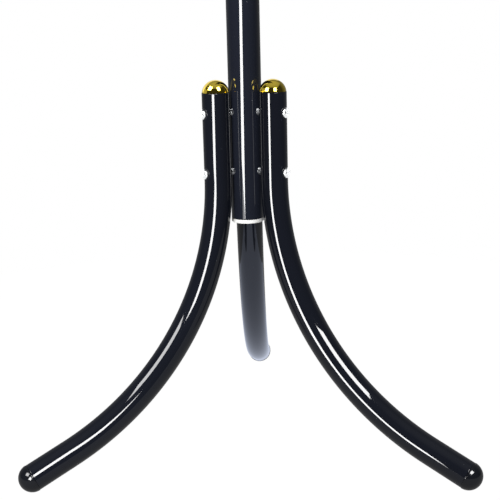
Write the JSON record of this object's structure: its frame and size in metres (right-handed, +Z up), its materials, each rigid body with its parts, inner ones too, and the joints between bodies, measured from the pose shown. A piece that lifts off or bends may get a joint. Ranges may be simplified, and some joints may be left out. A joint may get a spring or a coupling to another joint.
{
  "type": "coat tree",
  "caption": "Floor-standing coat tree: a tubular pole on bent tube legs with domed ends, with tiers of bent tube hooks for hats and coats.",
  "frame": {"origin": "on the pole's axis at floor level, the level of the three feet", "axes": "+Z up along the pole; the rear leg points along +Y and the two front legs point 30 degrees forward of -X and +X"},
  "size_m": [0.4086, 0.3572, 1.73],
  "materials": {
    "black_enamel": "high-gloss blue-black powder coat on steel tube",
    "polished_brass": "mirror-polished brass plating",
    "black_plastic": "glossy moulded plastic",
    "white_plastic": "satin moulded plastic",
    "bright_zinc": "bright zinc plating",
    "turned_steel": "turned, zinc plated"
  },
  "bodies": {
    "root": {"lower_pole": "black_enamel", "upper_pole": "black_enamel", "pole_bottom_plug": "white_plastic", "pole_top_dome": "polished_brass", "pole_joint_lower_insert": "turned_steel", "pole_joint_upper_insert": "turned_steel", "pole_joint_stud": "turned_steel", "leg_front_left": "black_enamel", "leg_dome_front_left": "polished_brass", "foot_cap_front_left": "black_plastic", "leg_front_right": "black_enamel", "leg_dome_front_right": "polished_brass", "foot_cap_front_right": "black_plastic", "leg_rear": "black_enamel", "leg_dome_rear": "polished_brass", "foot_cap_rear": "black_plastic", "leg_screws": "bright_zinc", "hook_screws": "bright_zinc", "leg_rivet_nuts": "bright_zinc", "hook_rivet_nuts": "bright_zinc", "leg_washers": "bright_zinc", "hook_washers": "bright_zinc", "hat_coat_hook_front_left": "black_enamel", "hat_hook_tip_front_left": "polished_brass", "upper_coat_hook_tip_front_left": "polished_brass", "hat_coat_hook_front_right": "black_enamel", "hat_hook_tip_front_right": "polished_brass", "upper_coat_hook_tip_front_right": "polished_brass", "hat_coat_hook_rear": "black_enamel", "hat_hook_tip_rear": "polished_brass", "upper_coat_hook_tip_rear": "polished_brass", "coat_hook_rear_left": "black_enamel", "coat_hook_dome_rear_left": "polished_brass", "coat_hook_tip_rear_left": "polished_brass", "coat_hook_rear_right": "black_enamel", "coat_hook_dome_rear_right": "polished_brass", "coat_hook_tip_rear_right": "polished_brass", "coat_hook_front": "black_enamel", "coat_hook_dome_front": "polished_brass", "coat_hook_tip_front": "polished_brass"}
  },
  "joints": []
}
